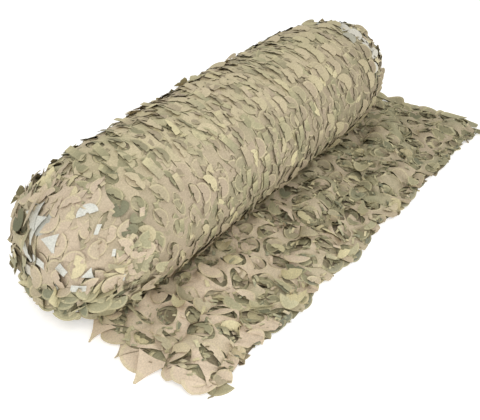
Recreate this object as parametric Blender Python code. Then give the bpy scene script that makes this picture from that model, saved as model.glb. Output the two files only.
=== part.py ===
"""A roll of incised camouflage netting with its loose end lying out in front of it.

Metres, +Z up. X runs along the roll, the loose end lies towards -Y, and the origin is on
the surface that it rests on, under the middle of the roll.

The netting is one length of cloth. It is modelled as two solids: the wound roll, whose
section is one turn of a spiral, and the loose end, a thin sheet that starts where the
outermost turn leaves the underside of the roll. The sheet is opened by a staggered
pattern of incisions, so it is a lattice of four-armed stars with an opening between each
four of them.
"""

import math

import bmesh
import bpy

# The wound roll
ROLL_LENGTH = 1.500
ROLL_HALF_WIDTH = 0.218
ROLL_HALF_HEIGHT = 0.193
FLAT_HALF_WIDTH = 0.060  # half the width of the flat spot that it rests on
TURN_STEP = 0.0037  # how far the section grows in one turn
BODY_BULGE = 0.003  # unevenness of the winding, greatest on top
EDGE_BULGE = 0.012  # unevenness of the two soft ends
ROLL_SIDES = 48
BODY_STATIONS = 12
END_STATIONS = 9

# How each end closes: the length over which it rounds off, the size of its blunt face as
# a share of the full section, and how far that face hangs below the middle of the roll.
END_COLUMNS = ("side", "length", "face", "sag")
END_ROWS = (
    (-1, 0.300, 0.34, 0.32),
    (1, 0.400, 0.16, 0.03),
)

# The loose end
SHEET_THICKNESS = 0.003
GAP = 0.0003  # clearance between the two solids
SKEW = 0.036  # how far the loose end has slipped along the roll
COLUMNS = 36  # half pitches of the lattice across the width of the netting
ROWS = 8  # half pitches of the lattice from the roll to the cut edge
REACH_NEAR = 0.470  # how far the cut edge lies from the roll's axis, at each side
REACH_FAR = 0.502
SIDE_POINT = 0.018  # how far the pointed pieces of the near side edge stick out
CUT_DEPTH = 0.62  # depth of the scallops of the cut edge, as a share of one row
OPENING_SHARE = 0.78  # how much of the way to the neck an opening reaches
OPENING_ROUND = 0.63  # how much of the way to the star's middle it reaches

# The soft folds of the loose end: each is a ridge that crosses it at a slant.
FOLD_COLUMNS = ("x", "y", "slant", "length", "width", "height")
FOLD_ROWS = (
    (-0.58, -0.360, 0.25, 0.34, 0.060, 0.024),
    (-0.36, -0.230, -0.20, 0.30, 0.055, 0.020),
    (-0.12, -0.380, 0.15, 0.36, 0.060, 0.021),
    (0.08, -0.250, 0.30, 0.32, 0.055, 0.024),
    (0.32, -0.370, -0.15, 0.34, 0.055, 0.020),
    (0.52, -0.250, 0.20, 0.30, 0.060, 0.024),
    (0.68, -0.400, -0.30, 0.26, 0.050, 0.022),
)
RIM_LIFT = 0.009  # how far the rim of an opening curls up, at most
RISE_START = 0.100  # the cloth lies flat up to this far in front of the roll's axis
RISE_LENGTH = 0.080  # and its folds and curls reach their full height over this length

TAN = (0.47, 0.39, 0.26, 1.0)
SAND = (0.50, 0.41, 0.28, 1.0)


def clear_scene():
    for obj in list(bpy.data.objects):
        bpy.data.objects.remove(obj, do_unlink=True)


def cloth_material(name, colour):
    material = bpy.data.materials.new(name)
    material.use_nodes = True
    shader = material.node_tree.nodes["Principled BSDF"]
    shader.inputs["Base Color"].default_value = colour
    shader.inputs["Roughness"].default_value = 0.9
    shader.inputs["Metallic"].default_value = 0.0
    return material


def add_object(name, bm, material):
    bmesh.ops.recalc_face_normals(bm, faces=bm.faces)
    mesh = bpy.data.meshes.new(name)
    bm.to_mesh(mesh)
    bm.free()
    mesh.materials.append(material)
    obj = bpy.data.objects.new(name, mesh)
    bpy.context.scene.collection.objects.link(obj)
    return obj


# --- The wound roll -----------------------------------------------------------------


def unevenness(x, around, size):
    """How far the winding stands proud of its plain form; nothing near the underside."""
    upper = math.sin(around / 2) ** 2
    body = math.sin(11.0 * x + 2.0 * around) + 0.6 * math.sin(19.0 * x - 3.0 * around)
    edge = math.sin(7.0 * around + 9.0 * x) + 0.7 * math.sin(4.0 * around - 14.0 * x)
    return upper * (BODY_BULGE * body * size + EDGE_BULGE * edge * (1.0 - size)) / 1.6


def roll_section(x, size, sag):
    """One turn of the spiral, from the toe at the front of the flat spot, up and over."""
    toe = math.asin(FLAT_HALF_WIDTH / ROLL_HALF_WIDTH)
    middle = ROLL_HALF_HEIGHT * math.cos(toe) * (1.0 - sag * (1.0 - size))
    points = []
    for side in range(ROLL_SIDES + 1):
        turn = side / ROLL_SIDES
        around = toe + 2.0 * math.pi * turn
        proud = unevenness(x, around, size) - TURN_STEP * (1.0 - turn)
        y = -(ROLL_HALF_WIDTH * size + proud) * math.sin(around)
        z = middle - (ROLL_HALF_HEIGHT * size + proud) * math.cos(around)
        points.append((x, y, max(z, 0.0)))
    return points


def roll_stations():
    """(x, size, sag) of each section, from the near end to the far end."""
    near, far = (dict(zip(END_COLUMNS, row)) for row in END_ROWS)
    stations = []
    for end in (near, far):
        rounded = []
        for step in range(END_STATIONS):
            angle = 0.5 * math.pi * step / END_STATIONS
            inset = end["length"] * (1.0 - math.cos(angle))
            size = end["face"] + (1.0 - end["face"]) * math.sin(angle)
            rounded.append((end["side"] * (ROLL_LENGTH / 2 - inset), size, end["sag"]))
        stations.append(rounded)
    first = -ROLL_LENGTH / 2 + near["length"]
    last = ROLL_LENGTH / 2 - far["length"]
    body = []
    for step in range(BODY_STATIONS + 1):
        body.append((first + (last - first) * step / BODY_STATIONS, 1.0, 0.0))
    return stations[0] + body + stations[1][::-1]


def build_roll(material):
    bm = bmesh.new()
    rings = []
    for x, size, sag in roll_stations():
        rings.append([bm.verts.new(point) for point in roll_section(x, size, sag)])
    for ring, following in zip(rings, rings[1:]):
        for side in range(len(ring)):
            after = (side + 1) % len(ring)
            bm.faces.new((ring[side], ring[after], following[after], following[side]))
    for ring in (rings[0], rings[-1]):
        middle = bm.verts.new(sum((vert.co for vert in ring), ring[0].co * 0) / len(ring))
        for side in range(len(ring)):
            bm.faces.new((ring[side], ring[(side + 1) % len(ring)], middle))
    return add_object("net_roll", bm, material)


# --- The loose end ------------------------------------------------------------------


def rise(y):
    """0 where the roll holds the cloth down, 1 well in front of it."""
    return min(max((-y - RISE_START) / RISE_LENGTH, 0.0), 1.0)


def fold_height(x, y):
    """Height of the highest fold at one place; 0 where the cloth lies flat."""
    height = 0.0
    for row in FOLD_ROWS:
        fold = dict(zip(FOLD_COLUMNS, row))
        along = (x - fold["x"]) + fold["slant"] * (y - fold["y"])
        across = (y - fold["y"]) - fold["slant"] * (x - fold["x"])
        reach = (2.0 * along / fold["length"]) ** 2 + (across / fold["width"]) ** 2
        if reach < 1.0:
            height = max(height, fold["height"] * math.cos(0.5 * math.pi * reach) ** 2)
    return height


def lattice_point(column, row):
    """Where a point of the lattice lies, in half pitches; row 0 is at the roll."""
    across = column / COLUMNS
    x = ROLL_LENGTH * (across - 0.5) + SKEW
    reach = REACH_NEAR + (REACH_FAR - REACH_NEAR) * across
    start = FLAT_HALF_WIDTH + GAP
    pitch = (reach - start) / (ROWS - 1 + CUT_DEPTH)
    steps = min(row, ROWS - 1) + max(row - (ROWS - 1), 0) * CUT_DEPTH
    y = -(start + pitch * steps)
    slack = min(row, 1) * (-y - start)
    x += 0.020 * math.sin(9.0 * y + 5.0 * across) * slack / reach
    y += 0.006 * math.sin(23.0 * x) * min(row, 1)
    if column == 0 and row > 0:
        x -= SIDE_POINT * (0.5 + 0.5 * math.sin(5.0 * row))
    return x, y


def rim_lift(column, row, corner):
    """How far one corner of an opening's rim curls up."""
    turn = 0.25 * math.pi * corner
    tilt = math.sin(1.7 * column + 2.3 * row)
    return RIM_LIFT * max(0.0, math.cos(turn - 2.0 * tilt)) * (0.5 + 0.5 * tilt)


class Sheet:
    """Collects the two skins of the loose end, which share their outline."""

    def __init__(self):
        self.bm = bmesh.new()
        self.pairs = {}

    def pair(self, key, x, y, lift=0.0):
        if key not in self.pairs:
            low = (fold_height(x, y) + lift) * rise(y)
            under = self.bm.verts.new((x, y, low))
            upper = self.bm.verts.new((x, y, low + SHEET_THICKNESS))
            self.pairs[key] = (under, upper)
        return self.pairs[key]

    def lattice_pair(self, column, row):
        return self.pair((column, row), *lattice_point(column, row))

    def panel(self, pairs):
        self.bm.faces.new([upper for under, upper in pairs])
        self.bm.faces.new([under for under, upper in reversed(pairs)])

    def wall_open_edges(self):
        """Joins the two skins wherever a panel has no neighbour."""
        partner = {}
        for under, upper in self.pairs.values():
            partner[upper] = under
        for edge in [edge for edge in self.bm.edges if edge.is_boundary]:
            first, second = edge.verts
            if first in partner and second in partner:
                self.bm.faces.new((first, second, partner[second], partner[first]))


# The eight corners round an opening, as steps to the lattice points that enclose it
CORNERS = ((1, 0), (0.5, 0.5), (0, 1), (-0.5, 0.5), (-1, 0), (-0.5, -0.5), (0, -1), (0.5, -0.5))


def add_opening(sheet, column, row):
    """A ring of panels round one opening, out to the four stars that enclose it."""
    middle_x, middle_y = lattice_point(column, row)
    grip = 0.93 + 0.07 * math.sin(2.1 * column + 3.7 * row)
    outer = []
    inner = []
    for corner, (across, along) in enumerate(CORNERS):
        outer_x, outer_y = lattice_point(column + across, row + along)
        share = (OPENING_ROUND if corner % 2 == 0 else OPENING_SHARE) * grip
        x = middle_x + share * (outer_x - middle_x)
        y = middle_y + share * (outer_y - middle_y)
        outer.append(sheet.lattice_pair(column + across, row + along))
        inner.append(sheet.pair((column, row, corner), x, y, rim_lift(column, row, corner)))
    for corner in range(len(CORNERS)):
        after = (corner + 1) % len(CORNERS)
        sheet.panel((outer[corner], outer[after], inner[after], inner[corner]))


def add_roll_edge(sheet, column):
    """Fills the half lattice cell at the roll, so that the sheet ends straight there."""
    steps = ((-1, 0), (0, 0), (1, 0), (0.5, 0.5), (0, 1), (-0.5, 0.5))
    sheet.panel([sheet.lattice_pair(column + across, along) for across, along in steps])


def build_loose_end(material):
    sheet = Sheet()
    for row in range(1, ROWS):
        for column in range(1, COLUMNS):
            if (column + row) % 2:
                add_opening(sheet, column, row)
    for column in range(1, COLUMNS, 2):
        add_roll_edge(sheet, column)
    sheet.wall_open_edges()
    return add_object("loose_end", sheet.bm, material)


def main():
    clear_scene()
    build_roll(cloth_material("roll_cloth", TAN))
    build_loose_end(cloth_material("loose_end_cloth", SAND))


main()
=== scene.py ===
"""The looks of a roll of incised camouflage netting, with its loose end in front of it.

The netting is cut by a staggered pattern of round incisions. Each leaves an opening and
two half discs of cloth, which hang from the opening's sides by a narrow neck and curl.
Between the openings stays a web of four-armed stars. Every incised layer is made by one
function, add_netting, from a lattice of such openings laid over a surface.
"""

from dataclasses import dataclass
import math

import bpy
import numpy as np
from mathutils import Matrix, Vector


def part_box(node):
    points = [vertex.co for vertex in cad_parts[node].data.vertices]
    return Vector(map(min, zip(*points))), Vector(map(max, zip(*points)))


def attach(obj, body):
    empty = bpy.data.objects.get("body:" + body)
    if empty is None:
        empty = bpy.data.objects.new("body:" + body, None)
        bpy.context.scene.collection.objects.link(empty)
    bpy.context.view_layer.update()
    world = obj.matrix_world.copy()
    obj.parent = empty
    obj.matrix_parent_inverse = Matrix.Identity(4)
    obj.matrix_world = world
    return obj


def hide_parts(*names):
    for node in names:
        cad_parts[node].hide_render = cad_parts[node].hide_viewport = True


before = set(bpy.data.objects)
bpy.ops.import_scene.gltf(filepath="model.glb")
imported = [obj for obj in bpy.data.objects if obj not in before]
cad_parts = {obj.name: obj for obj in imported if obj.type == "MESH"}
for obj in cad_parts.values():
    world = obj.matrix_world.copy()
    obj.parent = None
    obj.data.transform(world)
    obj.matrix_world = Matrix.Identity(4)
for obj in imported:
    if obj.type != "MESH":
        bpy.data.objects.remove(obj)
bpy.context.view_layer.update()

scene = bpy.context.scene

# --- Sizes, in metres ---

roll_low, roll_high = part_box("net_roll")

ROLL_LENGTH = roll_high[0] - roll_low[0]
HALF_WIDTH = 0.208  # of the wound cloth, under the raised pieces
HALF_HEIGHT = 0.182
AXIS_HEIGHT = 0.183
GIRTH = math.tau * math.hypot(HALF_WIDTH, HALF_HEIGHT) / math.sqrt(2.0)

# The roll's near and far end: side, length, the blunt face's size and how far it hangs, both
# as shares of the section, and room past it for raised pieces
FAR_SAG = 0.03
ROLL_ENDS = ((-1, 0.300, 0.34, 0.32, 0.014), (1, 0.400, 0.16, FAR_SAG, 0.006))
FACE_BULGE = 0.012
PROFILE_STEPS = 60
BODY_UNEVEN, SHOULDER_UNEVEN = 0.003, 0.012

SKEW = 0.036  # how far the loose end has slipped along the roll
SHEET_START = 0.0603  # from the roll's axis to where the loose end leaves the roll
REACH_NEAR, REACH_FAR = 0.470, 0.502
COLUMNS, ROWS = 36, 8
CUT_DEPTH = 0.62  # of the cut edge in its last row, in half pitches
SWAY, WAVER = 0.020, 0.006  # how far the loose end strays along the roll, and across
FOLDS_FROM, FOLDS_GROW = 0.100, 0.080  # the folds begin past the roll's toe, and grow
FOLD_ROWS = (  # x, y, slant, length, width, height
    (-0.58, -0.360, 0.25, 0.34, 0.060, 0.024),
    (-0.36, -0.230, -0.20, 0.30, 0.055, 0.020),
    (-0.12, -0.380, 0.15, 0.36, 0.060, 0.021),
    (0.08, -0.250, 0.30, 0.32, 0.055, 0.024),
    (0.32, -0.370, -0.15, 0.34, 0.055, 0.020),
    (0.52, -0.250, 0.20, 0.30, 0.060, 0.024),
    (0.68, -0.400, -0.30, 0.26, 0.050, 0.022),
)


# --- Smooth unevenness ---


def ripple(first, second, wavelength, seed, waves=8):
    """Between about -1 and 1: a sum of waves that run in all directions."""
    draw = np.random.default_rng(seed)
    total = 0.0
    for _ in range(waves):
        turn, phase = draw.uniform(0.0, math.tau, 2)
        scale = draw.uniform(0.7, 1.5) * math.tau / wavelength
        total = total + np.sin(scale * (first * math.cos(turn) + second * math.sin(turn)) + phase)
    return total / math.sqrt(1.6 * waves)


def ramp(value, start, width, least=0.0, most=1.0):
    """0 up to the start, growing to 1 over the width. A negative width makes it fall."""
    return np.clip((value - start) / width, least, most)


def sloped(start, slope, least, most):
    """A function of places that changes evenly along their first coordinate."""
    return lambda at: np.clip(start + slope * at[:, 0], least, most)


def grows(axis, start, width):
    """A function of places that ramps along one of their coordinates."""
    return lambda at: ramp(at[:, axis], start, width)


def changed(value, *changes):
    """A function of places: a value, plus amounts of other functions."""
    return lambda at: value + sum(amount * part(at) for amount, part in changes)


# --- Surfaces that the cloth lies on ---


def roll_profile():
    """Arc length, and rows of x, size and sag, along the roll from one tip to the other."""
    ends = []
    for side, length, face, sag, margin in ROLL_ENDS:
        share = np.arange(PROFILE_STEPS) / PROFILE_STEPS
        angle = 0.5 * math.pi * np.arange(PROFILE_STEPS + 1) / PROFILE_STEPS
        shoulder = FACE_BULGE + (length - FACE_BULGE) * (1.0 - np.cos(angle))
        inset = np.concatenate([FACE_BULGE * share ** 3, shoulder])
        size = np.concatenate([face * share, face + (1.0 - face) * np.sin(angle)])
        x = side * (ROLL_LENGTH / 2 - margin - inset)
        ends.append(np.stack([x, size, np.full(len(x), sag)], 1))
    table = np.concatenate([ends[0], ends[1][::-1]])
    steps = np.hypot(np.diff(table[:, 0]), HALF_WIDTH * np.diff(table[:, 1]))
    return np.concatenate([[0.0], np.cumsum(steps)]), table


PROFILE_ARC, PROFILE = roll_profile()
PROFILE_END = PROFILE_ARC[-1]


def roll_point(arc, around):
    """A point of the wound cloth; around is 0 straight below, and grows to the front."""
    x, size, sag = (np.interp(arc, PROFILE_ARC, column) for column in PROFILE.T)
    upper = np.sin(around / 2) ** 2
    body = np.sin(11.0 * x + 2.0 * around) + 0.6 * np.sin(19.0 * x - 3.0 * around)
    shoulder = np.sin(7.0 * around + 9.0 * x) + 0.7 * np.sin(4.0 * around - 14.0 * x)
    proud = upper * (BODY_UNEVEN * body * size
                     + SHOULDER_UNEVEN * shoulder * (1.0 - size) * size * 2.5) / 1.6
    y = -(HALF_WIDTH * size + proud) * np.sin(around)
    z = AXIS_HEIGHT * (1.0 - sag * (1.0 - size)) - (HALF_HEIGHT * size + proud) * np.cos(around)
    return np.stack([x, y, z], axis=1)


def fold_height(x, y):
    """How high the loose end's soft folds stand."""
    height = np.zeros_like(x)
    for fold_x, fold_y, slant, length, width, top in FOLD_ROWS:
        along = (x - fold_x) + slant * (y - fold_y)
        across = (y - fold_y) - slant * (x - fold_x)
        reach = np.minimum((2.0 * along / length) ** 2 + (across / width) ** 2, 1.0)
        height = np.maximum(height, top * np.cos(0.5 * math.pi * reach) ** 2)
    return height * ramp(-y, FOLDS_FROM, FOLDS_GROW)


def sheet_point(column, row):
    """A point of the loose end, in half pitches of its lattice; row 0 is at the roll."""
    across = column / COLUMNS
    x = ROLL_LENGTH * (across - 0.5) + SKEW
    reach = REACH_NEAR + (REACH_FAR - REACH_NEAR) * across
    pitch = (reach - SHEET_START) / (ROWS - 1 + CUT_DEPTH)
    steps = np.minimum(row, ROWS - 1) + np.maximum(row - (ROWS - 1), 0) * CUT_DEPTH
    y = -(SHEET_START + pitch * steps)
    held = np.clip(row, 0.0, 1.0)
    x = x + SWAY * np.sin(9.0 * y + 5.0 * across) * held * (-y - SHEET_START) / reach
    y = y + WAVER * np.sin(23.0 * x) * held
    return np.stack([x, y, fold_height(x, y)], axis=1)


def lay(surface, u, v, lift, side):
    """Points at a height over a surface, which is a function of two coordinates."""
    small = 0.05  # step of the slopes, in the surface's coordinates
    middle = surface(u, v)
    along = surface(u + small, v) - surface(u - small, v)
    across = surface(u, v + small) - surface(u, v - small)
    normal = np.cross(along, across)
    normal *= side / np.maximum(np.linalg.norm(normal, axis=1, keepdims=True), 1e-12)
    return middle + normal * lift[:, None]


# --- The incised netting ---

X, Y, Z = 0, 1, 2
EDGE_POINTS = 4  # points along each side of a cell, which is a diamond
AROUND = 4 * EDGE_POINTS
RINGS = (0.45, 0.84, 1.0)  # the web's rings, from a cell's outline at 0 to the opening at 1
LOWEST = 0.0008  # no cloth lies lower, in metres above the ground
WAVES = ((0.075, 13), (0.22, 14), (0.030, 15))  # their lengths in metres, and seed steps
HINGE_LIFT = 0.0006  # of a leaf over the cloth that it hangs from
# The paler cut edges are partly the cloth's own cut edge and partly a painted highlight
RIM_PALE = 0.38  # how much paler the cloth is along its cut edges
UNEVEN = (0.88, 1.10)  # how small and how large openings and half discs come out
ASTRAY = 0.22  # how uneven the half discs' headings are, in radians
PALE_SHARE, PALENESS = 0.14, (0.5, 1.0)  # of the half discs, and how pale those are
# How much the stars' and the half discs' tones differ, and what folding back adds
STAR_TONE, DISC_TONE, FOLDED_TONE = 0.36, 0.34, 0.42
FOOT = 0.80  # how far the stars reach past a cut through their row, in pitches
FOOT_SHARES = (1.0, 0.92, 0.60)  # of that, for the web's three rings


def foot(column):
    """How far the stars reach past the cut: less near its two corners."""
    return FOOT * np.clip(np.minimum(0.12 * column, 0.08 * (COLUMNS - column) + 0.15), 0.25, 1.0)


# The diamond's points, counted from its +u corner, in steps of a quarter pitch
CORNERS = ((4, 0), (0, 4), (-4, 0), (0, -4), (4, 0))
OUTLINE = np.concatenate([np.linspace(corner, following, EDGE_POINTS, endpoint=False, dtype=int)
                          for corner, following in zip(CORNERS, CORNERS[1:])])


def lattice(columns, rows):
    """The openings, as every other node of a grid of half pitches."""
    return np.array([(c, r) for c in columns for r in rows if (c + r) % 2])


def grid_quads(rows, columns):
    """The quads between neighbouring points of a grid."""
    index = np.arange(rows * columns).reshape(rows, columns)
    corners = (index[:-1, :-1], index[:-1, 1:], index[1:, 1:], index[1:, :-1])
    return np.stack(corners, 2).reshape(-1, 4)


def half_disc(on_its_arc, points=13, fuller=0.0):
    """A leaf of radius 1, held at the middle of its arc or along its straight side."""
    turns = np.linspace(-fuller, math.pi + fuller, points)
    rings = (0.17, 0.48, 0.84, 1.0) if on_its_arc else (0.08, 0.45, 0.84, 1.0)
    aside = np.outer(rings, np.cos(turns)).ravel()
    along = np.outer(rings, np.sin(turns)).ravel()
    return (1.0 - along if on_its_arc else along), aside, grid_quads(4, points)


def pointed(width, tip):
    """A leaf of length 1 that narrows to its tip, with hollow sides."""
    steps, wide = 6, 5
    along = np.linspace(0.0, 1.0, steps)
    half = tip + (width / 2 - tip) * (1.0 - along) ** 1.5
    aside = np.outer(half, np.linspace(-1.0, 1.0, wide)).ravel()
    return np.repeat(along, wide), aside, grid_quads(steps, wide)


DISC = half_disc(True)
SMALL_DISC = half_disc(True, 9)
PETAL = half_disc(False)
ROUND = half_disc(False, fuller=0.15)
FULL = half_disc(False, fuller=1.25)
POINT = pointed(1.15, 0.04)
TAB = pointed(0.62, 0.25)
STRIP = pointed(0.46, 0.21)


def mesh_object(name, parts):
    """One piece from its parts, each of them points, quads and a row of looks per quad."""
    starts = np.cumsum([0] + [len(part[0]) for part in parts])
    quads = np.concatenate([part[1] + start for part, start in zip(parts, starts)])
    used, quads = np.unique(quads, return_inverse=True)
    points = np.concatenate([part[0] for part in parts])[used]
    mesh = bpy.data.meshes.new(name)
    mesh.from_pydata(points.tolist(), [], quads.reshape(-1, 4).tolist())
    mesh.polygons.foreach_set("use_smooth", np.ones(len(mesh.polygons), dtype=bool))
    layer = mesh.attributes.new("cloth", "FLOAT_COLOR", "FACE")
    looks = np.concatenate([part[2] for part in parts])
    layer.data.foreach_set("color", looks.astype(np.float32).ravel())
    mesh.update()
    obj = bpy.data.objects.new(name, mesh)
    scene.collection.objects.link(obj)
    return obj


def there(value, places):
    """A value that is either one number or a function of the places."""
    return value(places) if callable(value) else value


@dataclass
class Layer:
    """A layer of cloth over a surface. A value given as an object may be a function."""

    surface: object
    pitch: tuple  # metres to a step of each coordinate
    wave: float  # how high the cloth waves
    seed: int
    lift: float = 0.0  # height over the surface
    side: int = -1  # of the surface that the cloth lies on
    wander: float = 0.1  # how irregular the lattice is, in pitches
    ridge: float = 1.0  # how much longer the waves are along the first coordinate
    crumple: float = 0.0  # how high the small crumples are
    # shade is painted shade: how much darker the cloth is painted, for lying deep in the layers or for
    # less light falling there
    shade: object = 0.0  # how deep the cloth lies
    tint: object = 0.0  # added to its tone
    white: object = None  # where it is unprinted
    # The next field is a painted warm light: the least paleness of the cloth
    painted_light: object = 0.0  # the least paleness
    lively: object = 1.0  # how far the half discs stand up
    tucked: object = None  # the share of half discs that hang below the cloth
    smooth: object = 1.0  # scales the waves
    ruffle: object = 0.0  # added to the height
    stretch: object = 1.0  # of the pitch
    cut_row: object = None  # the row that the cut edge runs through
    foot_share: float = 1.0  # how far the stars reach past it

    def __post_init__(self):
        self.draw = np.random.default_rng(self.seed)

    def drift(self, at):
        """The lattice is never quite regular: it wanders by a share of a pitch."""
        moves = [ripple(*at.T, 3.6, self.seed + step) for step in (11, 12)]
        return at + self.wander * np.stack(moves, 1)

    def height(self, at):
        """The height of the waving cloth over its surface."""
        first, second = (at * self.pitch).T
        fine, broad, small = (ripple(first / self.ridge, second, length, self.seed + step)
                              for length, step in WAVES)
        waves = self.wave * (0.8 * fine + 0.6 * broad) + self.crumple * small
        return self.lift + waves * there(self.smooth, at) + there(self.ruffle, at)

    def place(self, at, height):
        """Points in space for places on the lattice."""
        points = lay(self.surface, at[:, 0], at[:, 1], height, self.side)
        points[:, 2] = np.maximum(points[:, 2], LOWEST)
        return points

    def looks(self, middles, tone, pale, faces):
        """Red is the tone, green how white, blue how much painted shade, alpha how pale or how much
        painted highlight.
        """
        white = self.white(middles, self.draw) if self.white else np.zeros(len(middles))
        tone = tone + there(self.tint, middles)
        shade = there(self.shade, middles)
        pale = np.maximum(pale, there(self.painted_light, middles)) * (1 - white)
        rows = np.stack(np.broadcast_arrays(tone, white, shade, pale), 1)
        return np.repeat(rows, faces, axis=0)

    def web(self, cells, opening, curl, closed, slit):
        """The stars between the openings. It returns the part, the rims and their rise."""
        draw = self.draw
        count = len(cells)
        # Neighbouring cells share the points of their outlines.
        key = (4 * cells[:, None] + OUTLINE).reshape(-1, 2)
        shared, slot = np.unique(key, axis=0, return_inverse=True)
        outline = OUTLINE / 4.0
        length = np.linalg.norm(outline, axis=1, keepdims=True)
        opening = np.array(there(opening, cells)).reshape(-1, 1, 2)
        rim = outline / length * opening * draw.uniform(*UNEVEN, (count, 1, 2))
        shut = draw.random((count, 1)) < np.reshape(there(closed, cells), (-1, 1))
        rim[:, :, 0] *= np.where(shut, slit, 1.0)
        rim += cells[:, None]
        outer = cells[:, None] + outline
        rings = [outer * (1.0 - share) + rim * share for share in RINGS]
        # Each opening's rim curls its own way, and less where it is shut.
        turn = np.arctan2(outline[:, 1], outline[:, 0])
        lean, fold = draw.uniform(0.0, math.tau, (2, count, 1))
        strength = curl * draw.uniform(0.3, 1.0, (count, 1)) * np.where(shut, 0.3, 1.0)
        rise = strength * (np.cos(turn - lean) + 0.8 * np.cos(2.0 * turn - fold))
        # The cut edge runs through the openings of its row, and the stars' feet pass it.
        cut = cells[:, 1] == self.cut_row
        corners = shared / 4.0
        corners[:, 1] += self.foot_share * foot(corners[:, 0]) * (corners[:, 1] == self.cut_row)
        sides = slice(None, None, AROUND // 2)
        for ring, share in zip(rings, FOOT_SHARES):
            ring[cut, sides, 1] += self.foot_share * foot(ring[cut, sides, 0]) * share
        flat = np.concatenate([corners] + [ring.reshape(-1, 2) for ring in rings])
        extra = [np.zeros(len(shared))] + [rise.ravel() * share ** 2 for share in RINGS]
        points = self.place(self.drift(flat), self.height(flat) + np.concatenate(extra))
        ring = len(shared) + np.arange(count * AROUND).reshape(count, AROUND)
        rows = [slot.reshape(count, AROUND)] + [ring + count * AROUND * step for step in range(3)]
        quads = [np.stack([far, np.roll(far, -1, 1), np.roll(near, -1, 1), near], 2)
                 for far, near in zip(rows, rows[1:])]
        kept = ~np.tile(cut[:, None] & (np.arange(AROUND) < AROUND // 2), (1, 3)).ravel()
        quads = np.stack(quads, 1).reshape(-1, 4)[kept]
        # The faces of a star lie around one node of the lattice, and look alike.
        corner = np.roll(np.repeat(OUTLINE[::EDGE_POINTS] // 4, EDGE_POINTS, axis=0),
                         -EDGE_POINTS // 2, axis=0)
        stars, star = np.unique((cells[:, None] + corner).reshape(-1, 2), axis=0, return_inverse=True)
        star_points = self.place(stars.astype(float), np.zeros(len(stars)))
        tone = STAR_TONE * draw.random(len(stars)) ** 1.5
        looks = self.looks(star_points, tone, 0.0, 1)
        looks = looks[np.tile(star.reshape(count, AROUND), (1, 3)).ravel()]
        # The rims of the openings are paler: partly the cut edge, partly a painted highlight
        rims = np.tile(np.repeat((0.0, 0.0, RIM_PALE), AROUND), count)
        looks[:, 3] = np.maximum(looks[:, 3], rims * (1 - looks[:, 1]))
        return (points, quads, looks[kept]), rim, rise

    def leaves(self, leaf, base, base_height, heading, lie, size, tone, pale, cup=(-4, 6),
               twist=5.0, fade=False):
        """Leaves of cloth that hinge at points of the lattice and stand off it.

        lie is their angles in degrees and their bends per metre. cup and twist, also per
        metre, say how they curve across. With fade, they are pale only towards their tips, a painted
        highlight where the tips catch the light.
        """
        draw = self.draw
        count = len(base)
        along, aside, faces = leaf
        angle, bend = lie
        angle = np.radians(angle)[:, None]
        bend = np.where(np.abs(bend) < 0.5, 0.5, bend)[:, None]
        heading, size = heading[:, None], size[:, None]
        along, aside = along * size, aside * size
        out = (np.sin(angle + bend * along) - np.sin(angle)) / bend
        up = (np.cos(angle) - np.cos(angle + bend * along)) / bend
        up += draw.uniform(*cup, (count, 1)) * aside ** 2
        up += twist * draw.normal(0.0, 1.0, (count, 1)) * along * aside
        step_u = out * np.cos(heading) - aside * np.sin(heading)
        step_v = out * np.sin(heading) + aside * np.cos(heading)
        wide = self.pitch[0] * np.reshape(there(self.stretch, base), (-1, 1))
        steps = np.stack([step_u / wide, step_v / self.pitch[1]], 2)
        moved = self.drift(base)[:, None] + steps
        height = (self.height(base) + base_height + HINGE_LIFT)[:, None] + up
        points = self.place(moved.reshape(-1, 2), height.ravel())
        quads = faces + (np.arange(count) * aside.shape[1])[:, None, None]
        middles = points.reshape(count, -1, 3).mean(axis=1)
        looks = self.looks(middles, tone, pale, len(faces))
        # Painted highlight: faded leaves are pale only at their tips
        if fade:
            looks[:, 3] *= np.tile(leaf[0][faces].mean(axis=1) ** 2, count)
        else:
            # The outer third of each leaf is paler: partly the cut edge, partly a painted highlight
            rim = np.tile(np.arange(len(faces)) >= len(faces) * 2 // 3, count)
            looks[:, 3] = np.maximum(looks[:, 3], RIM_PALE * rim * (1 - looks[:, 1]))
        return points, quads.reshape(-1, 4), looks

    def some(self, value, count):
        """Numbers drawn from a range, which is a tuple, or else a fixed value."""
        if isinstance(value, tuple):
            return self.draw.uniform(*value, count)
        return np.broadcast_to(value, count)

    def spots(self, count, columns, rows):
        """Places on the lattice."""
        return np.stack([self.some(columns, count), self.some(rows, count)], 1)

    def scatter(self, leaf, base, angle, bend, heading, turn, size, lift=0.0, tone=0.0,
                pale=(0.0, 0.0), **more):
        """Leaves with drawn numbers. turn: how uneven the heading is. pale: a share, how pale."""
        count = len(base)
        lie = self.some(angle, count), self.some(bend, count)
        lift, heading = self.some(lift, count), self.some(heading, count)
        if turn:
            heading = heading + self.draw.normal(0.0, turn, count)
        size, tone = self.some(size, count), self.some(tone, count)
        share, paleness = pale
        pale = np.where(self.draw.random(count) < share, paleness, 0.0) if share else 0.0
        return self.leaves(leaf, base, lift, heading, lie, size, tone, pale, **more)

    def draw_lie(self, table, base):
        """Angle and bend of each leaf, from rows of share, angle range and bend range."""
        table = np.array(table)
        pick = self.draw.choice(len(table), len(base), p=table[:, 0] / table[:, 0].sum())
        angle = self.draw.uniform(table[pick, 1], table[pick, 2])
        bend = self.draw.uniform(table[pick, 3], table[pick, 4])
        if self.tucked is not None:
            below = self.draw.random(len(base)) < self.tucked(base)
            angle = np.where(below, self.draw.uniform(-55, -25, len(base)), angle)
            bend = np.where(below, self.draw.uniform(-8, 5, len(base)), bend)
        # Over 90 degrees a leaf is folded back. Calm cloth has none of those.
        lively = there(self.lively, base)
        angle = np.where((angle > 90) & (lively < 0.3), 4, angle)
        standing = (angle > 0) & (angle < 60)
        angle = np.where(standing, np.minimum(angle * lively, 60), angle)
        bend = np.where(angle < 60, bend * lively, bend)
        return angle, bend


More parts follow.
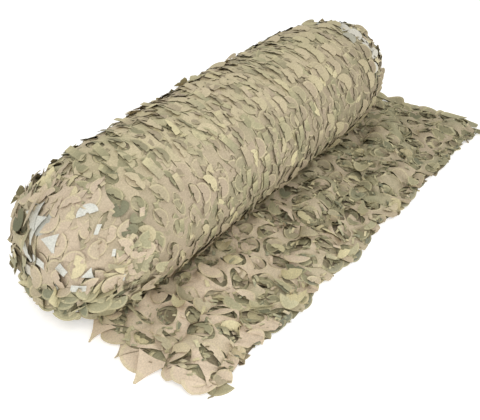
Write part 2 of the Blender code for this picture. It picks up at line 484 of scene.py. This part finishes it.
def add_netting(name, layer, cells, opening, curl, right, left, radius=0.029, tabs=None,
                closed=0.0, slit=0.12, extra=(), twist=5.0, disc=DISC):
    """One piece of incised netting: its web, two half discs to an opening, some tabs.

    right and left are the tables of how the half discs lie that hang from the opening's
    sides; tabs is the share of openings with one, its shape, sizes, headings and lie.
    """
    count = len(cells)
    draw = layer.draw
    web, rim, rise = layer.web(cells, opening, curl, closed, slit)
    parts = [web]
    for way, pole, table in ((math.pi, 0, right), (0.0, AROUND // 2, left)):
        base = rim[:, pole]
        lie = layer.draw_lie(table, base)
        heading = way + draw.normal(0.0, ASTRAY, count)
        tone = np.where(lie[0] > 90, FOLDED_TONE, 0.0) + DISC_TONE * draw.random(count)
        pale = np.where(draw.random(count) < PALE_SHARE, draw.uniform(*PALENESS, count), 0.0)
        size = radius * draw.uniform(*UNEVEN, count)
        parts.append(layer.leaves(disc, base, rise[:, pole], heading, lie, size, tone, pale,
                                  twist=twist))
    if tabs is not None:
        share, leaf, low, high, turn, row = tabs
        pole = 3 * AROUND // 4
        pick = np.flatnonzero(draw.random(count) < there(share, cells))
        base = rim[pick, pole]
        heading = math.pi / 2 + draw.normal(0.0, turn, len(pick))
        parts.append(layer.leaves(
            leaf, base, rise[pick, pole], heading, layer.draw_lie((row,), base),
            draw.uniform(low, high, len(pick)), 0.5 * draw.random(len(pick)),
            draw.uniform(0.2, 0.8, len(pick)), twist=1.0, fade=True))
    return mesh_object(name, parts + list(extra))


# --- Materials ---

# The colours of the print, by its tone from 0 to 1
PRINTED = ((0.700, 0.572, 0.422, 1.0), (0.630, 0.530, 0.372, 1.0), (0.480, 0.450, 0.285, 1.0),
           (0.620, 0.565, 0.360, 1.0), (0.370, 0.370, 0.250, 1.0))
UNPRINTED = (0.67, 0.665, 0.59, 1.0)
# Mixed in by the alpha channel: paler pieces, and painted highlights on cut edges, tab tips and the
# crest
PALE = (0.69, 0.615, 0.37, 1.0)
# Painted shade: this colour darkens cloth painted as lying deep in the layers or out of the light
PAINTED_SHADE = (0.46, 0.46, 0.42, 1.0)  # multiplies the colour deep in the layers
# Painted shade in crevices: this colour darkens cloth that has other cloth close by
CREVICE_SHADE = (0.41, 0.38, 0.31, 1.0)  # multiplies it in crevices
CREVICE = 0.004  # how near cloth has to be to darken a crevice, in metres


def set_inputs(node, inputs):
    """Gives each of a node's inputs a value, or another node's output."""
    for key, value in inputs.items():
        if isinstance(value, bpy.types.NodeSocket):
            node.id_data.links.new(value, node.inputs[key])
        else:
            node.inputs[key].default_value = value


def add_node(tree, kind, inputs, **settings):
    """A new shader node."""
    node = tree.nodes.new("ShaderNode" + kind)
    for key, value in settings.items():
        setattr(node, key, value)
    set_inputs(node, inputs)
    return node


def netting_material():
    """Printed cloth. The attribute of each face says how it looks, as Layer.looks has it."""
    material = bpy.data.materials.new("incised_netting")
    material.use_nodes = True
    tree = material.node_tree
    cloth = add_node(tree, "Attribute", {}, attribute_name="cloth")
    says = add_node(tree, "SeparateColor", {0: cloth.outputs["Color"]})
    place = add_node(tree, "TexCoord", {}).outputs["Object"]

    def noise(scale, detail, **more):
        inputs = {"Vector": place, "Scale": scale, "Detail": detail, **more}
        return add_node(tree, "TexNoise", inputs).outputs["Fac"]

    def mapped(value, low, high, to_low, to_high):
        ends = {"From Min": low, "From Max": high, "To Min": to_low, "To Max": to_high}
        return add_node(tree, "MapRange", {"Value": value, **ends}).outputs["Result"]

    def mixed(share, under, colour, blend="MIX"):
        inputs = {"Factor": share, 6: under, 7: colour}
        return add_node(tree, "Mix", inputs, data_type="RGBA", blend_type=blend).outputs[2]

    patches = add_node(tree, "Math", {0: noise(7.0, 3.0), 1: 0.9, 2: -0.42}, operation="MULTIPLY_ADD")
    tone = add_node(tree, "Math", {0: patches.outputs[0], 1: says.outputs["Red"]}, use_clamp=True)
    printed = add_node(tree, "ValToRGB", {0: tone.outputs[0]})
    stops = printed.color_ramp.elements
    for index in range(1, len(PRINTED) - 1):
        stops.new(index / (len(PRINTED) - 1))
    for stop, colour in zip(stops, PRINTED):
        stop.color = colour
    colour = mixed(says.outputs["Green"], printed.outputs["Color"], UNPRINTED)
    # Painted shade, as much as the face's blue channel says
    colour = mixed(says.outputs["Blue"], colour, PAINTED_SHADE, "MULTIPLY")
    # Paleness, which is partly painted highlight and painted warm light
    colour = mixed(cloth.outputs["Alpha"], colour, PALE)
    # Painted shade: ambient occlusion darkens the colour in crevices and along the edges of pieces
    # that lie on others
    crevice = add_node(tree, "AmbientOcclusion", {"Distance": CREVICE}, samples=6)
    painted_crevice_shade = mapped(crevice.outputs["AO"], 0.25, 0.90, 1.0, 0.0)
    colour = mixed(painted_crevice_shade, colour, CREVICE_SHADE, "MULTIPLY")
    grain = mapped(noise(260.0, 3.0), 0.30, 0.70, 0.85, 1.10)
    grained = add_node(tree, "VectorMath", {0: colour, "Scale": grain}, operation="SCALE")

    weave = add_node(tree, "Bump", {"Strength": 0.25, "Distance": 0.0004, "Height": noise(520.0, 2.0)})
    creases = add_node(tree, "Bump", {"Strength": 0.6, "Distance": 0.006,
                                      "Height": noise(55.0, 6.0, Roughness=0.62),
                                      "Normal": weave.outputs["Normal"]})
    set_inputs(tree.nodes["Principled BSDF"], {
        "Roughness": 0.82, "Specular IOR Level": 0.15,
        "Base Color": grained.outputs["Vector"], "Normal": creases.outputs["Normal"]})
    return material


netting = netting_material()


# How the half discs lie: share, angle from and to in degrees, bend from and to per metre
ON_TOP = ((0.76, 1, 8, -3, 5), (0.20, 9, 24, -14, -3), (0.04, 160, 176, -4, 6))
TUCKED = ((0.86, -8, 4, -3, 4), (0.10, 6, 16, -10, -3), (0.04, 160, 176, -4, 6))
LOOSE = ((0.58, -60, -25, -10, 5), (0.14, -10, 4, -5, 6), (0.16, 15, 45, -26, 4),
         (0.12, 125, 165, -10, 12))
CRUMPLED = ((0.45, -35, -5, -10, 8), (0.35, 5, 40, -24, 5), (0.20, 130, 168, -10, 12))
LIVELY = ((0.35, -25, 5, -8, 8), (0.45, 10, 50, -22, 4), (0.20, 130, 168, -10, 12))
FLAT = ((1.0, -6, 6, -4, 4),)


# --- The roll's turns ---

BODY_PITCH = (0.0215, 0.0512)
BODY_RADIUS = 0.025  # of its half discs
BODY_FROM, BODY_TO = 0.19, PROFILE_END - 0.15
body_rows = round(GIRTH / BODY_PITCH[1] / 2) * 2
body_columns = round((BODY_TO - BODY_FROM) / BODY_PITCH[0])
NEAR_STRETCH = 0.6  # how much wider the pitch is at the near end
RIM_COLUMNS = (54.9, 57.3)  # where pieces of the unprinted edge lie on the far shoulder
RIM_ROWS = [11.3, 10.9, 10.4, 9.6, 9.2, 8.7, 8.2, 7.6]
CORE_STEPS, CORE_AROUND = 200, 120
CORE_DEPTH = 0.006  # how far the inner turns lie under the wound form


def body_surface(column, row):
    """The lattice around the roll, from below; its columns run along the roll."""
    share = column / body_columns
    arc = BODY_FROM + (BODY_TO - BODY_FROM) * (share + NEAR_STRETCH * share * (1.0 - share) ** 2)
    return roll_point(arc, math.tau * row / body_rows)


def body_stretch(at):
    """How wide the pitch is there, in nominal pitches."""
    share = at[:, 0] / body_columns
    return 1.0 + NEAR_STRETCH * (1.0 - share) * (1.0 - 3.0 * share)


def body_cells(shift):
    """The openings of a turn, moved by a share of half a pitch against the other turns."""
    return lattice(range(1, body_columns), range(body_rows)) + shift


def far_half(cells):
    """0 on the roll's near half, growing to 1 on its far half."""
    return ramp(cells[:, 0] / body_columns, 0.35, 0.35)


# 1 at the roll's near end, falling to 0 before a third of its length
near_part = sloped(1.3, -4.5 / body_columns, 0.0, 1.0)
on_crest = grows(Z, 0.30, 0.06)

# Towards both ends more half discs stay under the outer turn, and fewer tabs show. Towards
# the far end more openings lie closed, and the outer turn waves less.
tucked_on_roll = changed(0.15, (0.55, far_half), (0.35, near_part))
tabs_on_roll = changed(0.50, (-0.32, far_half), (-0.32, near_part))
closed_on_roll = changed(0.45, (0.35, far_half), (-0.35, near_part))
smooth_far = changed(1.0, (-0.5, far_half))

# The print is more olive along the crest, which also has a painted warm light. The outer
# turn's painted shade is least there and at its foot, and most at its far end. What shows
# near the near end is more olive.
roll_tint = changed(0.02, (0.06, on_crest))
warm_light_on_crest = changed(0.0, (0.40, on_crest))
# Painted light and shade: lighter on the crest and at the foot, darker towards the far end
roll_shade = changed(0.62, (0.27, grows(X, -0.2, 0.6)), (-0.30, on_crest),
                     (-0.20, grows(Z, 0.10, -0.06)))
olive_near = changed(0.05, (0.42, grows(X, -0.28, -0.25)))


def lively_body(base):
    """The half discs lie flat on the roll's front, and stand up more towards its crest."""
    around = math.tau * base[:, 1] / body_rows
    crest = ramp(around, 2.35, 0.5)
    near = np.clip(1.0 - base[:, 0] / (0.6 * body_columns), 0, 1)
    return 0.7 + (0.5 + 1.35 * near) * crest + 0.5 * near ** 3 - 0.4 * far_half(base)


def open_on_roll(cells):
    """The openings are rounder at the near end."""
    near = near_part(cells)
    return np.stack([0.36 + 0.20 * near, 0.62 - 0.10 * near], 1)


def unprinted(inside, share, white=1.0):
    """White leaves: a share of those that lie inside."""
    return lambda middles, draw: np.where(
        inside(*middles.T) & (draw.random(len(middles)) < share), white, 0.0)


def on_rim(x, y, z):
    """The unprinted edge of the cloth shows on top of the far shoulder."""
    return (x > 0.50) & (x < 0.62) & (y < 0.02) & (z > 0.20)


def add_inner_turns():
    """A crumpled skin of cloth: the turns that show dimly between the outer layers."""
    arcs = np.linspace(0.004, PROFILE_END - 0.004, CORE_STEPS)
    turns = np.arange(CORE_AROUND) * math.tau / CORE_AROUND
    points = roll_point(np.repeat(arcs, CORE_AROUND), np.tile(turns, CORE_STEPS))
    middles = points.reshape(CORE_STEPS, CORE_AROUND, 3).mean(axis=1)
    outward = points - middles.repeat(CORE_AROUND, axis=0)
    outward /= np.linalg.norm(outward, axis=1, keepdims=True)
    bump = ripple(points[:, 0] * 0.6, points[:, 1] + points[:, 2], 0.03, 5)
    points = points + outward * (0.003 * bump - CORE_DEPTH)[:, None]
    points[:, 2] = np.maximum(points[:, 2], LOWEST)
    quads = grid_quads(CORE_STEPS, CORE_AROUND)
    # Painted shade: the inner turns are darkened as lying in the roll's shade
    looks = np.tile((0.0, 0.0, 0.8, 0.0), (len(quads), 1))
    looks[:, 0] = np.random.default_rng(5).uniform(0.3, 1.0, len(quads))
    return mesh_object("inner_turns", [(points, quads, looks)])


def half_rounds(layer):
    """Half discs that stand off the roll at their arc. Many are paler than the rest."""
    draw = layer.draw
    spots = np.array([(column, row) for column in np.arange(2.5, body_columns - 2, 2.4)
                      for row in range(body_rows)])
    spots = spots[draw.random(len(spots)) < 0.10 + 0.20 * far_half(spots)]
    count = len(spots)
    base = spots + draw.uniform(-0.35, 0.35, (count, 2)) * (2.0, 1.0)
    lie = draw.uniform(6, 16, count) + 12 * far_half(base), draw.uniform(-12, 0, count)
    pale = np.where(draw.random(count) < 0.5, draw.uniform(0.15, 0.55, count), 0.0)
    return layer.leaves(
        ROUND, base, 0.0035, draw.normal(0.0, 0.2, count), lie,
        draw.uniform(0.024, 0.030, count), draw.uniform(-0.25, 0.3, count), pale, twist=1.0)


def rim_pieces(layer):
    """Pieces of the unprinted edge, which stand up on the far shoulder."""
    base = layer.spots(len(RIM_ROWS), RIM_COLUMNS, RIM_ROWS)
    points, quads, looks = layer.scatter(
        ROUND, base, (10, 30), (-12, 0), 0.0, 0.6, (0.020, 0.032), lift=0.002)
    # Unprinted, with a little painted shade
    looks[:] = (0.0, 0.8, 0.1, 0.0)
    return points, quads, looks


# Tabs: share of openings, leaf, least and most length, unevenness of heading, and lie
ROLL_TABS = (tabs_on_roll, STRIP, 0.034, 0.056, 0.16, (1, 2, 10, -6, 4))

every_turn = dict(surface=body_surface, pitch=BODY_PITCH, side=1, stretch=body_stretch)
seen_turn = dict(every_turn, lively=lively_body, white=unprinted(on_rim, 0.20, 0.8))
# Deeper turns have more painted shade
third = Layer(**every_turn, wave=0.0012, seed=101, shade=0.78)
second = Layer(**seen_turn, lift=0.0022, wave=0.0014, seed=201, shade=0.68, tint=olive_near)
outer = Layer(**seen_turn, lift=0.0045, wave=0.0016, seed=301, shade=roll_shade, tint=roll_tint,
              tucked=tucked_on_roll, smooth=smooth_far, painted_light=warm_light_on_crest)
discs = dict(radius=BODY_RADIUS, disc=SMALL_DISC)
seen = dict(discs, closed=closed_on_roll, tabs=ROLL_TABS)
pieces = [
    add_inner_turns(),
    add_netting("roll_third_turn", third, body_cells(0.5), (0.40, 0.60), 0.002, FLAT, FLAT, **discs),
    add_netting("roll_second_turn", second, body_cells(0.25), (0.40, 0.60), 0.0025, ON_TOP,
                TUCKED, **seen),
    add_netting("roll_outer_turn", outer, body_cells(0.0), open_on_roll, 0.003, ON_TOP, TUCKED,
                extra=[half_rounds(outer), rim_pieces(outer)], **seen),
]


# --- The roll's two ends ---

END_PITCH = (0.038, 0.038)
END_REACH = 0.285  # of the netting from the middle of each end
# The near end's calm patch, in metres to the front and down from the middle of its
# lattice, and in space; and the radii within which less and less of the cloth stands up
CALM = (0.090, -0.150)
CALM_Y, CALM_Z = -0.075, 0.270
CALM_INNER, CALM_RIM, CALM_OUTER = 0.110, 0.115, 0.120
# Single pieces of the near end: leaf, millimetres to the front and down, heading in degrees,
# size in millimetres, and how white it is or, below zero, how much painted shade darkens it:
# dark discs that stand in for shaded openings
NEAR_PIECES = (
    (DISC, 90, -220, 60, 27, 1),
    (STRIP, 140, -180, 90, 26, 1),
    (POINT, -55, -165, 40, 56, 1),
    (POINT, -20, -165, 85, 58, 1),
    (TAB, -50, -175, 70, 46, 1),
    (POINT, 35, -130, 60, 38, 1),
    (DISC, -40, -65, -50, 24, 1),
    (DISC, -10, -50, 105, 26, 0.7),
    (SMALL_DISC, 75, -15, -170, 16, 1),
    (STRIP, -10, -75, 10, 44, 1),
    (TAB, 70, -80, 40, 28, 1),
    (POINT, 135, -65, 45, 26, 1),
    (TAB, 105, -30, 5, 32, 1),
    (STRIP, 185, -90, -85, 18, 1),
    (STRIP, 210, -5, -80, 22, 1),
    (DISC, 170, -30, 40, 31, 0),
    (DISC, -55, -215, 35, 26, 0),
    (DISC, 30, -225, 55, 26, 0),
    (DISC, 110, -115, 100, 27, 0),
    (DISC, 235, -120, 150, 27, 0),
    (FULL, 175, -215, 60, 24, -0.8),
    (FULL, 235, -195, 60, 22, -0.7),
    (FULL, 225, -150, 20, 20, -0.8),
    (STRIP, 235, -220, 75, 30, 0),
    (FULL, -80, -120, 0, 24, -1),
    (FULL, -45, -30, 40, 22, -1),
    (FULL, 20, 10, 0, 20, -1),
    (FULL, 120, 30, 0, 22, -0.9),
    (FULL, 190, 50, 30, 24, -0.9),
    (FULL, 245, -30, 60, 24, -0.8),
)
# Lobes that hang from it towards the ground: to the front, down, and size
LOW_LOBES = np.array([(-0.062, 0.095, 0.046), (0.045, 0.125, 0.030),
                      (0.090, 0.140, 0.032), (0.130, 0.140, 0.034)])


def end_surface(tip, way):
    """The lattice over an end of the roll, laid flat out from the middle of its face."""
    def surface(column, row):
        across, down = column * END_PITCH[0], row * END_PITCH[1]
        return roll_point(np.abs(tip - np.hypot(across, down)), np.arctan2(way * across, down))
    return surface


near_surface, far_surface = end_surface(0.0, 1.0), end_surface(PROFILE_END, -1.0)


def end_cells():
    """The openings of an end's lattice."""
    limit = int(END_REACH / END_PITCH[0])
    cells = lattice(range(-limit, limit + 1), range(-limit, limit + 1))
    return cells[np.hypot(*cells.T) * END_PITCH[0] < END_REACH]


def from_calm(at):
    """Distance of places on the near end's lattice from the middle of its calm patch."""
    return np.hypot(*(np.asarray(at) * END_PITCH - CALM).T)


def lively_end(base):
    """The half discs stand up outside the calm patch, and less towards the back."""
    lively = ramp(from_calm(base), 0.085, 0.060, least=0.12, most=1.2)
    return np.where(base[:, 0] * END_PITCH[0] < -0.12, 0.5 * lively, lively)


def smooth_end(at):
    """The calm patch waves less."""
    return ramp(from_calm(at), 0.060, 0.060, least=0.25)


def by_calm(radius, inside, outside):
    """A function of places: one value in the calm patch, and another outside."""
    values = np.array((outside, inside))
    return lambda at: values[(from_calm(at) < radius).astype(int)]


# In the calm patch some half discs are out of sight and few tabs show, and most openings are
# closed to slits. Outside it they gape.
tucked_end = by_calm(CALM_INNER, 0.30, 0.0)
closed_on_end = by_calm(CALM_INNER, 0.6, 0.05)
tabs_on_end = by_calm(CALM_OUTER, 0.12, 0.45)
open_end = by_calm(CALM_OUTER, (0.48, 0.48), (0.66, 0.66))


def beyond_calm(start, width):
    """A function of points in space that ramps with their distance from the calm patch."""
    return lambda at: ramp(np.hypot(at[:, Y] - CALM_Y, at[:, Z] - CALM_Z), start, width)


# The calm patch is mostly of the print's palest colour. Outside it, what shows through the
# near end's openings is darkened with painted shade.
pink_end = changed(0.0, (-0.22, beyond_calm(0.14, -0.06)))
painted_shade_end = changed(0.5, (0.5, beyond_calm(0.09, 0.05)))


def near_middle(_, y, z):
    """The unprinted edge also shows in a few places on the near end."""
    return np.hypot(y + 0.015, z - 0.240) < 0.10


def far_ring(_, y, z):
    """It shows in a ring on the far end."""
    reach = np.hypot(y, z - AXIS_HEIGHT * (1.0 - FAR_SAG))
    return (reach > 0.03) & (reach < 0.15)


def selvedge(layer, reaches, count, leaf, size):
    """Pieces of cloth that stand out around the near end's shoulder."""
    draw = layer.draw
    turn = draw.uniform(-0.85 * math.pi, 0.25 * math.pi, count)
    reach = draw.uniform(*reaches, count)
    base = np.stack([reach * np.cos(turn), reach * np.sin(turn)], 1) / END_PITCH
    outside = from_calm(base) > CALM_RIM
    return layer.scatter(leaf, base[outside], (5, 30), (-26, 4), turn[outside], 0.9, size,
                         lift=(-0.004, 0.003), tone=(0.0, 0.6))


def low_lobes(layer):
    """The pieces of LOW_LOBES."""
    return layer.scatter(
        PETAL, LOW_LOBES[:, :2] / END_PITCH, (45, 55), (-8, 2), math.pi / 2, 0.15,
        LOW_LOBES[:, 2], tone=(0.2, 0.5), twist=1.0)


def low_ruffles(layer):
    """Half discs that crowd low on the near end."""
    base = layer.spots(54, (-0.09, 0.19), (-0.025, 0.070)) / END_PITCH
    return layer.scatter(
        PETAL, base, (16, 72), (-40, 12), math.pi / 2, 1.0, (0.018, 0.033),
        lift=(-0.004, 0.004), tone=(0.0, 1.0), pale=(0.12, 0.7), twist=2.0)


def single_pieces(layer):
    """The pieces of NEAR_PIECES. The white ones are of the unprinted edge; the dark ones are painted
    shade.
    """
    parts = []
    for leaf, front, down, heading, size, white in NEAR_PIECES:
        base = np.array([(front / 1000, down / 1000)]) / END_PITCH
        points, quads, looks = layer.scatter(
            leaf, base, (2, 14), (-8, 2), math.radians(heading), 0.0, size / 1000,
            lift=0.005, cup=(-2, 2), twist=1.0)
        if white > 0.0:
            looks[:] = (0.0, white, 0.0, 0.0)
        # Painted shade: a dark disc in place of a shaded opening
        elif white < 0.0:
            looks[:] = (0.9, 0.0, -white, 0.0)
        parts.append((points, quads, looks))
    return parts


END_TABS = (tabs_on_end, TAB, 0.015, 0.026, 0.9, (1, 10, 70, -30, 30))

near_white, far_white = unprinted(near_middle, 0.04), unprinted(far_ring, 0.2)
# The ends' lower layers have more painted shade than their outer ones
near_under = Layer(near_surface, END_PITCH, wave=0.002, seed=400, shade=painted_shade_end, crumple=0.0015,
                   white=near_white)
near_outer = Layer(near_surface, END_PITCH, lift=0.008, wave=0.006, seed=450, shade=0.30,
                   tint=pink_end, white=near_white, lively=lively_end, smooth=smooth_end,
                   tucked=tucked_end)
near_ruffles = Layer(near_surface, END_PITCH, lift=0.009, wave=0.006, seed=471, shade=0.40)
far_under = Layer(far_surface, END_PITCH, wave=0.002, seed=500, shade=0.5, white=far_white)
far_outer = Layer(far_surface, END_PITCH, lift=0.005, wave=0.003, seed=550, shade=0.30,
                  white=far_white)
pieces += [
    add_netting("near_end_under", near_under, end_cells(), (0.5, 0.5), 0.003, ON_TOP, FLAT),
    add_netting("near_end_outer", near_outer, end_cells(), open_end, 0.006, LIVELY, ON_TOP,
                radius=0.027, closed=closed_on_end, tabs=END_TABS, extra=[
                    selvedge(near_outer, (0.17, 0.26), 90, STRIP, (0.020, 0.036)),
                    selvedge(near_outer, (0.16, 0.26), 50, POINT, (0.018, 0.028)),
                    selvedge(near_outer, (0.15, 0.26), 50, SMALL_DISC, (0.018, 0.025)),
                    low_lobes(near_outer), low_ruffles(near_ruffles),
                    *single_pieces(near_outer)]),
    add_netting("far_end_under", far_under, end_cells(), (0.5, 0.5), 0.003, ON_TOP, FLAT),
    add_netting("far_end_outer", far_outer, end_cells(), (0.5, 0.5), 0.003, ON_TOP, FLAT, closed=0.4),
]


# --- The loose end ---

SHEET_PITCH = (ROLL_LENGTH / COLUMNS, 0.0565)

# The loose end is bunched at its near side, where more openings are closed. Towards its far
# side it has more painted shade and is more olive, and its half discs lie flatter or hang down
# out of sight. The lower cloth has more painted shade there too, and less in the shadow of
# the roll.
bunched = sloped(0.40, -0.04, 0.06, 1.0)
# Painted shade on the upper cloth, growing towards the far side
painted_shade_far = sloped(0.27, 0.52, 0.0, 0.57)
calmer_far = sloped(1.15, -0.9 / COLUMNS, 0.3, 1.15)
tucked_far = sloped(-0.2, 1.3 / COLUMNS, 0.0, 0.85)
olive_far = changed(0.0, (0.17, grows(X, -0.1, 0.6)), (-0.14, grows(X, -0.30, -0.25)))
under_shade = changed(0.50, (0.42, grows(X, -0.6, 1.2)), (-0.15, grows(Y, -0.24, 0.08)))


def wide_openings(cells):
    """The loose end's openings narrow towards its far side, and where it is bunched."""
    share = cells[:, 0] / COLUMNS
    bunch = ramp(cells[:, 0], 9.0, -9.0)
    return np.stack([0.70 - 0.12 * share - 0.14 * bunch, 0.62 - 0.10 * share - 0.04 * bunch], 1)


def edge_ruffle(at):
    """Small ruffles along the loose end's front edge, and ridges where it is bunched."""
    column, row = at.T
    edge = ramp(row, ROWS - 1.9, 1.0)
    phase = math.tau * column / 0.76 + 1.6 * ripple(column, row * 0.3, 5.0, 93)
    bunch = ramp(np.hypot((column - 3.5) / 4.5, (row - 5.0) / 3.0), 1.3, -1.0)
    ridge = math.tau * column / 1.25 + 2.2 * ripple(column, row, 4.0, 94)
    return edge * (0.0045 * np.sin(phase) + 0.002) + bunch * 0.0048 * (1.0 + np.sin(ridge))


def bits(layer, count, size, steep):
    """Small torn and folded bits of cloth, over the whole loose end."""
    base = layer.spots(count, (1, COLUMNS - 1), (0.3, ROWS - 0.6))
    return layer.scatter(
        STRIP, base, (5, steep), (-60, 20), (0.0, math.tau), 0.0, size,
        lift=(-0.001, 0.003), tone=(0.0, 1.0), pale=(0.15, 0.8), twist=2.0)


def lobes(layer, leaf, base, heading, turn, low, high, tone=0.5, pale=0.0):
    """Leaves that lie almost flat along an edge of the loose end."""
    draw = layer.draw
    base = np.array(base)
    count = len(base)
    lie = draw.uniform(-14, 9, count), draw.uniform(-12, 8, count)
    return layer.leaves(
        leaf, base, draw.uniform(-0.004, 0.001, count), heading + draw.normal(0.0, turn, count),
        lie, draw.uniform(low, high, count), tone * draw.random(count),
        np.clip(draw.normal(0.0, 0.3, count), 0, 1) * pale)


def front_lobes(layer):
    """Lobes of the lower cloth, along the front between the stars' feet and at the sides."""
    draw = layer.draw
    along = np.concatenate([np.arange(4, COLUMNS, 2), np.arange(3, COLUMNS, 4)])
    count = len(along)
    base = layer.spots(count, (-0.15, 0.15), (ROWS - 1.05, ROWS - 0.80))
    base[:, 0] += along
    lie = draw.uniform(-12, 14, count), draw.uniform(-18, 6, count)
    size = draw.uniform(0.028, 0.037, count) * np.clip(foot(along) / FOOT, 0.5, 1.0)
    points, quads, looks = layer.leaves(
        PETAL, base, 0.001, math.pi / 2 + draw.normal(0.0, 0.15, count), lie, size,
        draw.uniform(0.3, 0.9, count), 0.0)
    # Painted shade: the lobes are greyed with some white and darkened, as the lower cloth seen in
    # shade
    looks[:, 1:3] = 0.28, 0.80
    down = np.arange(0.9, ROWS - 0.6, 0.7)
    near = layer.spots(len(down), (1.95, 2.15), down)
    far = near * (-1.0, 1.0) + (COLUMNS + 0.85, -0.2)
    return [(points, quads, looks), lobes(layer, PETAL, near, math.pi, 0.2, 0.044, 0.050),
            lobes(layer, PETAL, far, 0.0, 0.2, 0.036, 0.042)]


def edge_lobes(layer):
    """Lobes down the loose end's sides and along its front, and three star points."""
    near = ((1.30, 1.9), (1.20, 3.6), (1.20, 5.3), (1.30, 6.1))
    broad = np.array((0.040, 0.054, 0.034, 0.034))
    down = np.arange(0.2, ROWS - 1.2, 0.45)
    far = layer.spots(len(down), (COLUMNS - 0.68, COLUMNS - 0.48), down)
    points = ((1.25, 1.00), (1.25, 2.90), (1.25, 4.15))
    length = np.array((0.060, 0.058, 0.080))
    along = np.arange(7, COLUMNS - 2, 3)
    front = layer.spots(len(along), (-0.3, 0.3), (ROWS - 1.20, ROWS - 0.95))
    front[:, 0] += along
    return [
        lobes(layer, PETAL, near, math.pi - 0.1, 0.1, broad, broad + 0.003, tone=0.1),
        lobes(layer, PETAL, [(1.25, 6.75)], 2.5, 0.1, 0.040, 0.044, tone=0.1),
        lobes(layer, PETAL, far, 0.0, 0.2, 0.040, 0.048, tone=0.9),
        lobes(layer, POINT, points, math.pi - 0.15, 0.1, length, length + 0.004, tone=0.1),
        lobes(layer, PETAL, front, math.pi / 2, 0.3, 0.026, 0.034, tone=0.6, pale=1.0),
    ]


OUTER_TABS = (0.50, *END_TABS[1:])
UNDER_TABS = (0.9, TAB, 0.012, 0.022, 1.5, (1, 5, 60, -40, 30))

sheet = dict(surface=sheet_point, pitch=SHEET_PITCH, cut_row=ROWS - 1)
# The ground layer is darkened with deep painted shade
ground = Layer(**sheet, lift=0.003, wave=0.002, seed=600, shade=0.9, ridge=2.0, foot_share=0.3)
under = Layer(**sheet, lift=0.008, wave=0.004, seed=700, shade=under_shade, tint=0.34,
              wander=0.25, ridge=1.5, crumple=0.0022, foot_share=0.6)
upper = Layer(**sheet, lift=0.015, wave=0.006, seed=800, shade=painted_shade_far, tint=olive_far,
              ridge=2.5, ruffle=edge_ruffle, lively=calmer_far, tucked=tucked_far)
pieces += [
    add_netting("loose_end_ground", ground, lattice(range(2, COLUMNS), range(1, ROWS)),
                (0.12, 0.12), 0.001, FLAT, FLAT),
    add_netting("loose_end_under", under, lattice(range(2, COLUMNS), range(0, ROWS)),
                (0.56, 0.52), 0.006, CRUMPLED, CRUMPLED, radius=0.024, tabs=UNDER_TABS,
                extra=[*front_lobes(under), bits(under, 900, (0.010, 0.020), 50)]),
    add_netting("loose_end_outer", upper, lattice(range(2, COLUMNS), range(1, ROWS)),
                wide_openings, 0.009, LOOSE, LOOSE, closed=bunched, slit=0.3, tabs=OUTER_TABS,
                twist=8.0, extra=[*edge_lobes(upper), bits(upper, 300, (0.012, 0.022), 34)]),
]


# --- Each piece hides the part of model.glb that it stands for, and takes the netting ---

named = {piece.name: piece for piece in pieces}
for name, piece in named.items():
    loose = name.startswith("loose_end")
    node, held = ("loose_end", "laid") if loose else ("net_roll", "folded")
    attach(piece, "root")
    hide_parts(node)
    piece.data.materials.append(netting)


# --- Floor, light and camera ---

WHITE = (1.0, 1.0, 1.0, 1.0)
FLOOR_HALF = 12.0
FLOOR_LOOKS = {"Base Color": (0.92, 0.92, 0.92, 1.0), "Roughness": 0.95,
               "Emission Color": WHITE, "Emission Strength": 0.36}
WORLD_LOOKS = {"Color": WHITE, "Strength": 0.80}
LIGHTS = (  # name, place, target, size in metres, power in watts
    ("key", (-1.7, -1.5, 2.5), (-0.4, -0.3, 0.1), 0.9, 24.5),
    ("fill", (0.6, -2.6, 1.6), (0.0, -0.2, 0.1), 2.0, 14.0),
)
SENSOR, LENS = 36.0, 52.27  # in millimetres
TARGET = Vector((-0.2263, -0.1982, 0.1339))
AZIMUTH, ELEVATION = math.radians(52.83), math.radians(37.30)
DISTANCE = 1.8563


def aim(obj, away):
    """Turns an object that looks along its own -Z, so that away is behind it."""
    obj.rotation_euler = (-away).to_track_quat("-Z", "Y").to_euler()
    scene.collection.objects.link(obj)


def add_floor():
    """A pale floor that glows a little, which keeps it almost white."""
    mesh = bpy.data.meshes.new("floor")
    half = FLOOR_HALF
    corners = ((-half, -half, 0), (half, -half, 0), (half, half, 0), (-half, half, 0))
    mesh.from_pydata(corners, [], [(0, 1, 2, 3)])
    floor = bpy.data.objects.new("floor", mesh)
    scene.collection.objects.link(floor)
    material = bpy.data.materials.new("pale_floor")
    material.use_nodes = True
    set_inputs(material.node_tree.nodes["Principled BSDF"], FLOOR_LOOKS)
    mesh.materials.append(material)


def add_light(name, place, target, size, power):
    """A square light that shines from a place at a target."""
    light = bpy.data.lights.new(name, "AREA")
    light.size = size
    light.energy = power
    lamp = bpy.data.objects.new(name, light)
    lamp.location = place
    aim(lamp, Vector(place) - Vector(target))


def add_world():
    """Even white light from all around."""
    world = bpy.data.worlds.new("studio")
    world.use_nodes = True
    set_inputs(world.node_tree.nodes["Background"], WORLD_LOOKS)
    scene.world = world
    scene.view_settings.view_transform = "Standard"


def add_camera():
    """The camera, which looks from the near end and above."""
    data = bpy.data.cameras.new("camera")
    data.sensor_width = SENSOR
    data.lens = LENS
    camera = bpy.data.objects.new("camera", data)
    away = Vector((-math.sin(AZIMUTH) * math.cos(ELEVATION),
                   -math.cos(AZIMUTH) * math.cos(ELEVATION), math.sin(ELEVATION)))
    camera.location = TARGET + DISTANCE * away
    aim(camera, away)
    scene.camera = camera


add_floor()
for light in LIGHTS:
    add_light(*light)
add_world()
add_camera()
